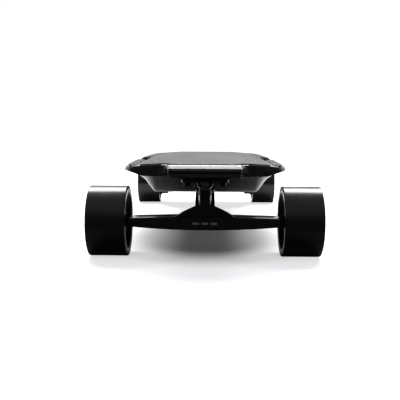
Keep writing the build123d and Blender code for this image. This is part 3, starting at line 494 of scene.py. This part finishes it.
def shellMesh():
    # Cross-sections along the board: top, notch, side wall, flared underside and the bay; both halves mirror
    s = shellShape
    planPath = softPath(np.array([s["plan"]], float), s["planRadii"], 9)[0]
    # Stations lie close together at the notches' corners, the nose and the lid's ends
    marks = [0.0, 199.0, 201.7, 204, 208, 212, 214, 214.6, 265, 275, 275.6, 285, 295, 305, 315.4, 316, 330,
        465.8, 466.2]
    marks += planPath[:, 1].tolist() + [464.0, 468, 470, 472, 474, 476]
    marks = [sign * mark for mark in marks for sign in (-1, 1)]
    marks += [-305, -240, 205, 265, *s["lidEnds"], *s["bayEnds"]]
    marks += [mark + 0.3 for mark in (*s["lidEnds"], *s["bayEnds"])] + list(np.linspace(-440, 440, 89))
    y = np.unique(np.round(marks, 2))
    reach = np.abs(y)
    wide = np.interp(reach, planPath[:, 1], planPath[:, 0])
    top = topAt(y)
    slabBottom = top - s["slab"]
    hull = np.interp(y, s["hullRamps"], [0, 1, 1, 0])
    hull = hull * hull * (3 - 2 * hull) * 0.5 + hull * 0.5
    bottom = slabBottom + (s["hullBottom"] - slabBottom) * hull
    rim = slabBottom + s["rimLift"] + (s["hullRim"] - slabBottom - s["rimLift"]) * hull
    nose = np.clip((reach - s["noseStart"]) / s["noseLength"], 0, 1)
    lipLow = topAt(np.sign(y) * s["end"]) - s["slab"] + s["lipHeight"]
    top = top + (lipLow + 1.5 - top) * nose
    cutBack = reach > s["cutBack"]
    bottom = np.where(cutBack, np.minimum(lipLow + 0.3, top - 1.0), bottom)
    rim = np.where(cutBack, bottom + 0.4, rim)
    floor = topAt(np.sign(y) * s["notchMiddle"]) - s["notchDrop"]
    notchStart, notchStop = s["notchEnds"]
    slotEnd = s["slotEnd"]
    inNotch = (reach > notchStart) & (reach < notchStop)
    wallIn = np.interp(reach, [notchStart, s["notchCorner"], notchStop, notchStop + 0.6],
        [s["halfWidth"] - 1, s["notchIn"], s["notchIn"], s["halfWidth"] - 6])
    wallOut = np.interp(reach, [slotEnd, notchStop], [s["halfWidth"] - 1, s["notchIn"]])
    crest = wide - s["lean"]
    isOpen = inNotch & (reach <= slotEnd)
    isSlotted = inNotch & (reach > slotEnd)
    inner = np.where(inNotch, np.minimum(wallIn, crest - 2), crest - 12)
    outer = np.where(isSlotted, np.maximum(np.minimum(wallOut, crest - 1), inner + 1.5),
        np.where(isOpen, wide - 1.0, crest - 6))
    brow = np.maximum(np.where(isOpen, wide - 0.5, crest), outer + 0.7)
    crown = [(share * inner, top - sideDrop(share * inner)) for share in (0.0, 0.35, 0.6, 0.66, 0.72, 0.8, 0.9)]
    innerTop, browTop = top - sideDrop(inner), top - sideDrop(brow)
    drop = np.where(inNotch, np.minimum(floor, innerTop), top - sideDrop(inner + 0.6))
    outerDrop = np.where(inNotch, drop, top - sideDrop(outer))
    outerTop = np.where(isOpen, outerDrop, top - sideDrop(outer + 0.5))
    browTop = np.where(isOpen, outerDrop - 0.1, browTop)
    side = np.minimum(rim, browTop - 0.5)
    columns = crown + [(inner, innerTop), (inner + 0.6, drop), (outer, outerDrop), (outer + 0.5, outerTop),
        (brow, browTop), (wide, side)]
    for inset, share in zip(s["insets"], s["shares"]):
        narrow = wide - 0.25 * inset - 0.5
        across = np.minimum(s["halfWidth"] - inset, narrow)
        columns.append((across, bottom + share * (side - bottom)))
    inLid = (y > s["lidEnds"][0]) & (y < s["lidEnds"][1])
    inBay = (y > s["bayEnds"][0]) & (y < s["bayEnds"][1])
    shrink = columns[-1][0] / (s["halfWidth"] - s["insets"][2])
    recess = np.where(inLid, s["lidRecess"], bottom)
    ceiling = np.where(inBay, s["bayTop"], recess)
    columns += [(s["lidHalf"] * shrink, bottom), ((s["lidHalf"] - 0.2) * shrink, recess),
                (s["bayHalf"] * shrink, recess), ((s["bayHalf"] - 0.2) * shrink, ceiling),
                (np.zeros_like(y), ceiling)]
    path = np.stack([np.stack(column, axis=1) for column in columns], axis=1)
    radii = [0.1] * 6 + [0.8, 1.2, 1.2, 0.8, 3.2, 3.4, 8.0, 9.0, 4.0, 0.3, 0.3, 0.3, 0.3]
    right = softPath(path, radii)
    ring = np.concatenate([right, right[:, -2:0:-1] * np.array((-1, 1))], axis=1)
    points = np.stack([ring[..., 0], np.broadcast_to(y[:, None], ring.shape[:2]), ring[..., 1]], axis=-1) * mm
    return outward(gridMesh(points))


makePiece("deckShell", shellMesh(), carbon, ["deck_shell"], 32)

# Bumpers: an outline with rounded outer corners, with a groove between an upper and a lower band
bumperShape = {"halfWidth": 51.3, "depth": 13.8, "corner": 9.0,
               "bands": ((0.0, 3.0), (1.2, 1.4), (5.2, 0.2), (5.6, 0.9), (6.0, 0.9), (6.4, 0.0), (9.6, 0.0),
               (11.0, 1.6))}


def bumperMesh(node, facing):
    shape = bumperShape
    low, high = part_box(node)
    outerY = (low.y if facing < 0 else high.y) / mm
    rows = []
    for level, inset in shape["bands"]:
        w, d = shape["halfWidth"] - inset * 0.6, shape["depth"] - inset
        outline = roundedCorners([(-w, 0), (-w, d), (w, d), (w, 0)],
            [0.5, shape["corner"], shape["corner"], 0.5], 8)
        depth = outline[:, 1] - shape["depth"]
        rows.append(np.stack([outline[:, 0], outerY + facing * depth,
            np.full(len(outline), low.z / mm + level)], axis=1))
    return outward(gridMesh(np.stack(rows) * mm))


for node, facing in (("nose_bumper", -1), ("tail_bumper", 1)):
    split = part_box(node)[0].z + 5.8 * mm
    makePiece(f"{node}_moulded", bumperMesh(node, facing), bumperPaint(f"{node}Rubber", split), [node], 35)
print("deck done")

# Wheels
tyreShape = {"lip": 1.6, "shoulder": 43.0, "seat": 36.05, "seatHalf": 20.0, "bead": 38.0}
bearingShape = {"radius": 11.0, "bore": 5.1, "shield": (6.9, 9.5), "recess": 0.5}


def tyreMesh(node):
    low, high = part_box(node)
    half = (high.x - low.x) / 2 / mm
    radius = (high.z - low.z) / 2 / mm
    t = tyreShape
    corners = [(-half, t["shoulder"]), (-half, radius), (half, radius), (half, t["shoulder"]),
        (t["seatHalf"], t["bead"]),
               (t["seatHalf"], t["seat"]), (-t["seatHalf"], t["seat"]), (-t["seatHalf"], t["bead"])]
    profile = roundedCorners(corners, [1.6, t["lip"], t["lip"], 1.6, 2.5, 0.4, 0.4, 2.5], 9)
    return turned(profile, centreOf(node), (1, 0, 0), 160, True)


def bearingMesh(node):
    # Two shielded bearings in one node, one at each end of the core
    b = bearingShape
    low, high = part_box(node)
    middle = centreOf(node)
    width = 6.0
    half = (high.x - low.x) / 2 / mm - width / 2
    inner, outer = b["shield"]
    w, r = width / 2, b["recess"]
    profile = [(-w, b["bore"]), (-w, inner), (-w + r, inner + 0.1), (-w + r, outer), (-w, outer + 0.1),
        (-w + 0.2, b["radius"]),
               (w - 0.2, b["radius"]), (w, outer + 0.1), (w - r, outer), (w - r, inner + 0.1), (w, inner),
               (w, b["bore"])]
    rings = [turned(profile, middle + np.array((side * half * mm, 0, 0)), (1, 0, 0), 64, True)
        for side in (-1, 1)]
    return joined(*rings)


for end in ("front", "rear"):
    for side in sides:
        wheel = f"{end}_{side}"
        makePiece(f"{wheel}_tread", tyreMesh(f"{wheel}_tyre"), urethane, [f"{wheel}_tyre"], 30)
        softCopy(f"{wheel}_wheel_core", coreNylon, 0.7)
        makePiece(f"{wheel}_bearing_rings", bearingMesh(f"{wheel}_bearings"), blastedSteel,
            [f"{wheel}_bearings"], 30)
print("wheels done")


# Forged truck parts: the frame's own shapes with their edges and corners melted round
forgeShape = {"voxel": 0.9, "smooth": 5}


def forged(node, material):
    points, faces = cadMesh(node)
    data = bpy.data.meshes.new(f"{node}_forging")
    data.from_pydata(points.tolist(), [], faces)
    raw = bpy.data.objects.new(f"{node}_raw", data)
    bpy.context.scene.collection.objects.link(raw)
    remesh = raw.modifiers.new("remesh", "REMESH")
    remesh.mode = "VOXEL"
    remesh.voxel_size = forgeShape["voxel"] * mm
    smooth = raw.modifiers.new("melt", "SMOOTH")
    smooth.iterations = forgeShape["smooth"]
    smooth.factor = 0.5
    graph = bpy.context.evaluated_depsgraph_get()
    melted = bpy.data.meshes.new_from_object(raw.evaluated_get(graph))
    bpy.data.objects.remove(raw)
    melted.name = f"{node}_forged"
    piece = bpy.data.objects.new(f"{node}_forged", melted)
    bpy.context.scene.collection.objects.link(piece)
    return finishPiece(piece, material, [node], 180)


for node in ("front_hanger", "rear_hanger", "front_yoke", "rear_yoke", "front_baseplate", "rear_baseplate"):
    forged(node, blackAlloy)
print("forgings done")

# Kingpin stacks: studs, washers, nuts and bushings lie on each steering joint's axis
stackShape = {"eye": 8.0, "gap": 0.1, "long": 12.0, "short": 8.9, "bushing": 9.6, "washer": 10.0,
    "washerThick": 2.0,
              "nut": 7.5, "nutLong": 6.0, "stud": 5.0, "bore": 5.06, "roots": {"upper": 22.0, "lower": 26.0}}


def hexNut(centre, axis, first, low, high, radius, bore):
    # A hexagon's outline with a hole, its corners turned off by a chamfer at both ends
    angle = np.linspace(0, 2 * math.pi, 48, endpoint=False)
    apothem = radius * math.cos(math.pi / 6)
    flat = apothem / np.cos((angle + math.pi / 6) % (math.pi / 3) - math.pi / 6)
    rows = [(low, np.full(48, bore)), (low, np.minimum(flat, apothem * 0.97)),
        (low + 0.9, np.minimum(flat, radius * 0.995)),
            (high - 0.9, np.minimum(flat, radius * 0.995)), (high, np.minimum(flat, apothem * 0.97)),
            (high, np.full(48, bore))]
    axis, firstWay, secondWay = np.array(axis, float), np.array(first, float), np.cross(axis, first)
    points = [np.array(centre) + mm * (level * axis + (np.cos(angle) * r)[:, None] * firstWay
              + (np.sin(angle) * r)[:, None] * secondWay) for level, r in rows]
    return outward(gridMesh(np.stack(points), True, True))


def threadProfile(start, stop, radius, plain):
    # A stud: plain shank, then shallow thread-like rings with a 1 mm pitch, and a chamfered tip
    along = np.arange(plain, stop - 1.0, 0.25)
    ridge = radius - 0.3 * (0.5 - 0.5 * np.cos(2 * math.pi * along))
    turns = np.stack([along, ridge], axis=1).tolist()
    return [(start, 0.01), (start, radius), (plain - 0.3, radius), *turns, (stop - 1.0, radius - 0.2),
        (stop, radius - 1.1), (stop, 0.01)]


def stackPieces(end, which):
    joint = jointOf[f"{end}_{which}_steer"]
    pivot = np.array(joint["pos_m"])
    axis = np.array(joint["axis"], float)
    if which == "lower":
        axis = -axis
    s = stackShape
    nut = s["eye"] + s["gap"] + s["long"] + s["washerThick"]
    shank = turned(threadProfile(-s["roots"][which], nut + s["nutLong"] + 1, s["stud"], nut), pivot, axis, 40)
    washer = turned([(nut - s["washerThick"], s["bore"]), (nut - s["washerThick"], s["washer"] - 0.5),
                     (nut - s["washerThick"] + 0.5, s["washer"]), (nut - 0.5, s["washer"]),
                     (nut, s["washer"] - 0.5),
                     (nut, s["bore"])], pivot, axis, 64, True)
    nutMesh = hexNut(pivot, axis, (1, 0, 0), nut, nut + s["nutLong"], s["nut"], s["bore"] - 0.3)
    bushings = []
    for low, length, taper in ((s["eye"] + s["gap"], s["long"], 1.3),
            (-s["eye"] - s["gap"] - s["short"], s["short"], 0.4)):
        high = low + length
        r = s["bushing"]
        profile = [(low, s["bore"]), (low, r - 0.8), (low + 0.5, r - 0.1), (low + length * 0.35, r),
            (high - 0.8, r - taper),
                   (high - 0.1, r - taper - 0.7), (high, s["bore"])]
        bushings.append(turned(profile, pivot, axis, 64, True))
    return joined(shank, washer, nutMesh), joined(*bushings)


uppers = [stackPieces(end, "upper") for end in ("front", "rear")]
makePiece("upperKingpinSets", joined(*[pins for pins, pads in uppers]), brightSteel, ["upper_kingpins"], 30)
makePiece("upperBushingSets", joined(*[pads for pins, pads in uppers]), bushingUrethane, ["upper_bushings"], 35)
for end in ("front", "rear"):
    pins, pads = stackPieces(end, "lower")
    makePiece(f"{end}LowerKingpinSet", pins, brightSteel, [f"{end}_lower_kingpin"], 30)
    makePiece(f"{end}LowerBushingSet", pads, bushingUrethane, [f"{end}_lower_bushings"], 35)

# Axles and their nuts
for end in ("front", "rear"):
    low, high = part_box(f"{end}_axle")
    half = (high.x - low.x) / 2 / mm
    profile = [(-half, 0.01), (-half, 4.2), (-half + 0.8, 5.0), (half - 0.8, 5.0), (half, 4.2), (half, 0.01)]
    makePiece(f"{end}AxleRod", turned(profile, centreOf(f"{end}_axle"), (1, 0, 0), 48), brightSteel,
        [f"{end}_axle"], 30)
    nutLow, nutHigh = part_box(f"{end}_axle_nuts")
    outer = (nutHigh.x - nutLow.x) / 2 / mm
    nuts = [hexNut(centreOf(f"{end}_axle"), (side, 0, 0), (0, 1, 0), outer - 7.0, outer, 8.0, 5.0)
        for side in (-1, 1)]
    makePiece(f"{end}AxleNuts", joined(*nuts), blastedSteel, [f"{end}_axle_nuts"], 30)
print("kingpins and axles done")

# Three plain pale bars let into the front of the front hanger
barShape = {"width": 10.0, "height": 3.0, "gap": 3.6, "thick": 0.5, "drop": 1.2}


def barsMesh():
    # Rounded bars side by side, on the hanger's front face
    b = barShape
    w, h = b["width"] / 2, b["height"] / 2
    outline = roundedCorners([(-w, -h), (w, -h), (w, h), (-w, h)], 1.4, 6)
    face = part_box("front_hanger")[0].y + 0.35 * mm
    spots = [(step * (b["width"] + b["gap"]) * mm, face, frontAxle[2] - b["drop"] * mm) for step in (-1, 0, 1)]
    return joined(*[prism(outline, spot, (0, -1, 0), (1, 0, 0), -b["thick"], b["thick"] * 0.6, 0.12)
        for spot in spots])


makePiece("plainPaleBars", barsMesh(), palePrint, ["front_axle"], 35, replaces=False)

# Motors: finned cans with a stepped nose, screwed to their mounts
motorShape = {"radius": 31.5, "wall": 3.0, "fins": 7, "finDepth": 1.3, "bore": 4.6}


def motorMesh(side):
    # The outer wall is a turned profile with a clipped sine wave of cooling grooves; the inner wall is plain
    m = motorShape
    low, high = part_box("motor_housings")
    pivot = np.array(jointOf[("left" if side < 0 else "right") + "_motor_spin"]["pos_m"])
    outer = high.x / mm
    inner = 33.0
    along = np.linspace(inner + 8, outer - 12, 120)
    turns = (along - inner - 8) / (outer - inner - 20) * m["fins"]
    wave = np.clip(3 * np.sin(2 * math.pi * turns), 0, 1) * m["finDepth"]
    wall = np.stack([along, m["radius"] - wave], axis=1).tolist()
    profile = [(inner, 0.01), (inner, 9), (inner + 0.8, 9.5), (inner + 0.8, 24), (inner, 24.5),
        (inner, m["radius"] - 3),
               (inner + 3, m["radius"]), *wall, (outer - 11, m["radius"]), (outer - 0.6, m["radius"]),
               (outer, m["radius"] - 0.6),
               (outer, m["bore"]), (outer - m["wall"], m["bore"]), (outer - m["wall"], m["radius"] - m["wall"]),
               (inner + m["wall"], m["radius"] - m["wall"]), (inner + m["wall"], 0.01)]
    pivot[0] = 0
    return turned(profile, pivot, (side, 0, 0), 96)


makePiece("motorCans", joined(motorMesh(-1), motorMesh(1)), motorAlloy, ["motor_housings"], 35)

softCopy("motor_mounts", blackAlloy, 0.8)
softCopy("belt_guards", nylon, 0.8)
softCopy("hull_lid", lidComposite, 0.5)
softCopy("riser_pads", padRubber, 0.7)
softCopy("button_bezel", nylon, 0.3)
softCopy("power_button", glossPlastic, 0.3)
softCopy("charge_cap", nylon, 0.4)


# Drive belts: a loop round both pulleys, ribbed inside
beltShape = {"thickness": 2.0, "pitch": 5.0, "rib": 0.9, "width": 15.0, "gap": 0.3, "rootDrop": 0.57,
    "teeth": (36, 15)}


def beltMesh(side):
    # Two arcs and their tangents, resampled evenly; the inner edge is a clipped sine wave along their length
    b = beltShape
    name = "left" if side < 0 else "right"
    big = np.array(jointOf[f"rear_{name}_wheel_spin"]["pos_m"])[1:] / mm
    small = np.array(jointOf[f"{name}_motor_spin"]["pos_m"])[1:] / mm
    bigRadius, smallRadius = [count * b["pitch"] / (2 * math.pi) - b["rootDrop"] + b["gap"]
        for count in b["teeth"]]
    line = small - big
    heading = math.atan2(line[1], line[0])
    lean = math.acos((bigRadius - smallRadius) / np.linalg.norm(line))
    bigTurn = np.linspace(heading + lean, heading + 2 * math.pi - lean, 240)
    smallTurn = np.linspace(heading - lean, heading + lean, 120)
    arcs = [centre + radius * np.stack([np.cos(turn), np.sin(turn)], axis=1)
            for centre, radius, turn in ((big, bigRadius, bigTurn), (small, smallRadius, smallTurn))]
    path = np.concatenate([*arcs, arcs[0][:1]])
    run = np.concatenate([[0], np.cumsum(np.linalg.norm(np.diff(path, axis=0), axis=1))])
    ribs = round(run[-1] / b["pitch"])
    even = np.linspace(0, run[-1], ribs * 10, endpoint=False)
    path = np.stack([np.interp(even, run, path[:, k]) for k in (0, 1)], axis=1)
    ahead = np.roll(path, -1, axis=0) - np.roll(path, 1, axis=0)
    ahead /= np.linalg.norm(ahead, axis=1)[:, None]
    normal = np.stack([ahead[:, 1], -ahead[:, 0]], axis=1)
    groove = b["rib"] * np.clip(0.5 + np.sin(2 * math.pi * ribs * even / run[-1]), 0, 1)
    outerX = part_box("drive_belts")[1].x / mm
    thick, full = b["thickness"], np.full(len(path), 1.0)
    edges = ((0, groove + 0.2), (0, full * (thick - 0.2)), (0.2, full * thick),
        (b["width"] - 0.2, full * thick),
             (b["width"], full * (thick - 0.2)), (b["width"], groove + 0.2), (b["width"] - 0.2, groove),
             (0.2, groove))
    rows = []
    for across, lift in edges:
        spot = path + normal * lift[:, None]
        rows.append(np.stack([side * (outerX - across) * full, spot[:, 0], spot[:, 1]], axis=1))
    return outward(gridMesh(np.stack(rows) * mm, True, True))


makePiece("ribbedBelts", joined(beltMesh(-1), beltMesh(1)), beltRubber, ["drive_belts"], 40)

# Screws let into the deck: countersunk heads with a hexagon socket
screwShape = {"head": 4.0, "socket": 1.6, "deep": 1.4, "shank": 2.4, "long": 10.0, "proud": 1.2}


def deckScrewMesh(x, y):
    s = screwShape
    profile = [(0.0 - s["deep"], 0.01), (-s["deep"], s["socket"]), (0.0, s["socket"] + 0.1),
        (0.02, s["socket"] + 0.3),
               (0.0, s["head"] - 0.4), (-0.35, s["head"]), (-1.9, s["head"]), (-2.0, s["shank"]),
               (-s["long"], s["shank"]), (-s["long"], 0.01)]
    top = (topAt(y) - float(sideDrop(x)) + s["proud"]) * mm
    return turned(profile, (x * mm, y * mm, top), (0, 0, 1), 24)


half = wheelbase / 2
screwSpots = [(x, side * (-half + y)) for side in (1, -1)
    for x, y in ((0, -70), (-35, -64), (35, -64), (-74, 16), (74, 16), (0, 75))]
makePiece("deckScrewHeads", joined(*[deckScrewMesh(x, y) for x, y in screwSpots]), blastedSteel,
    ["deck_screws"], 35)

# The frame's own nodes that stay, with their finishes
kept = {"grip_mat": gripMiddle, "wing_grips": gripEdge, "truck_bolts": oxideSteel, "lid_screws": oxideSteel,
    "mount_screws": oxideSteel,
        "lid_gasket": padRubber, "battery_cells": sleeveGreen, "battery_tray": trayPlastic,
        "bms_board": circuitBoard,
        "motor_controller": finAlloy, "charge_port": nylon, "motor_stators": copperWire,
        "left_motor_rotor": blastedSteel,
        "right_motor_rotor": blastedSteel, "left_motor_pulley": pulleyAlloy, "right_motor_pulley": pulleyAlloy,
        "left_wheel_pulley": pulleyAlloy, "right_wheel_pulley": pulleyAlloy}
for node, material in kept.items():
    for slot in frame["nodes"][node].material_slots:
        slot.material = material
print("motors, drive and fittings done")

# Floor, light and camera
studio = {"floor": 40.0, "lens": 55.45, "camera": (0.0036, -1.3112, 0.1839), "pitch": 6.03, "yaw": 0.69,
    "roll": 0.3,
          "softbox": (0, 0.95, 1.75), "softboxSize": (2.6, 0.95), "softboxPower": 80,
          "shade": (0.17, 0.26, -0.19), "shadeEdge": (0.55, 1.15), "far": (0.8, 1.4)}


def floorPaint():
    # White paper glowing bright outside an ellipse under the front, which leaves a painted shadow under the
    # board; to all rays but the camera's it is painted dimmer, darkest towards the front, as painted shade in
    # the board's reflections
    paint = Paint("paleFloor", Roughness=0.7, Specular_IOR_Level=0.1, Emission_Strength=1.0)
    x, y, z = paint.split()
    wide, deep, middle = studio["shade"]
    # painted shadow: the floor glows white only outside this ellipse under the board, so the ellipse reads as
    # the board's shadow
    away = ((x / wide) ** 2 + ((y - middle) / deep) ** 2).math("SQRT").band(*studio["shadeEdge"])
    seen = paint.node("ShaderNodeLightPath", output="Is Camera Ray")
    # painted shade: what the board sees of the floor is painted darker towards the front, where less light
    # falls
    paintedFrontShade = y.band(-0.6, 0.0)
    paper = paint.blend(paint.noise(3.0), grey(0.87), grey(0.9))
    paint.set(Base_Color=paint.blend(seen, paint.blend(paintedFrontShade, grey(0.03), grey(0.6)), paper))
    far = (x * x + y * y).math("SQRT").band(*studio["far"])
    paint.set(Emission_Color=paint.blend((away * 0.68 + far * 0.32) * seen, grey(0.0), grey(1.0)))
    return paint.material


floorPoints = np.array([(x, y, 0.0) for x, y in ((-1, -1), (1, -1), (1, 1), (-1, 1))]) * studio["floor"]
floorData = bpy.data.meshes.new("floor")
floorData.from_pydata(floorPoints.tolist(), [], [(0, 1, 2, 3)])
floor = bpy.data.objects.new("floor", floorData)
bpy.context.scene.collection.objects.link(floor)
floorData.materials.append(floorPaint())


def areaLight(name, place, target, size, power):
    data = bpy.data.lights.new(name, "AREA")
    data.shape = "RECTANGLE"
    data.size, data.size_y, data.energy = *size, power
    light = bpy.data.objects.new(name, data)
    light.location = place
    light.rotation_euler = (Vector(target) - Vector(place)).to_track_quat("-Z", "Y").to_euler()
    bpy.context.scene.collection.objects.link(light)


areaLight("softbox", studio["softbox"], (0, 0, 0.1), studio["softboxSize"], studio["softboxPower"])

# The room: pale behind the board, dim above it and dark in front; plain white where the camera looks past it
world = bpy.data.worlds.new("studio")
bpy.context.scene.world = world
world.use_nodes = True
room = Nodes(world.node_tree, "Generated")
x, y, z = room.split()
glow = 0.04 + 0.6 * y.band(0.1, 0.6) * (1.0 - z.band(0.3, 0.75)) + 0.2 * z.band(0.2, 0.8)
seen = room.node("ShaderNodeLightPath", output="Is Camera Ray")
colour = room.blend(seen, room.node("ShaderNodeCombineColor", None, {0: glow, 1: glow, 2: glow}), grey(1.0))
room.tree.links.new(colour.socket, room.tree.nodes["Background"].inputs["Color"])

cameraData = bpy.data.cameras.new("camera")
cameraData.lens = studio["lens"]
cameraData.sensor_width = 36
camera = bpy.data.objects.new("camera", cameraData)
turn = (Matrix.Rotation(math.radians(studio["yaw"]), 4,
    "Z") @ Matrix.Rotation(math.radians(90 - studio["pitch"]), 4, "X")
        @ Matrix.Rotation(math.radians(studio["roll"]), 4, "Z"))
camera.matrix_world = Matrix.Translation(studio["camera"]) @ turn
bpy.context.scene.collection.objects.link(camera)
bpy.context.scene.camera = camera
bpy.context.scene.view_settings.view_transform = "Standard"
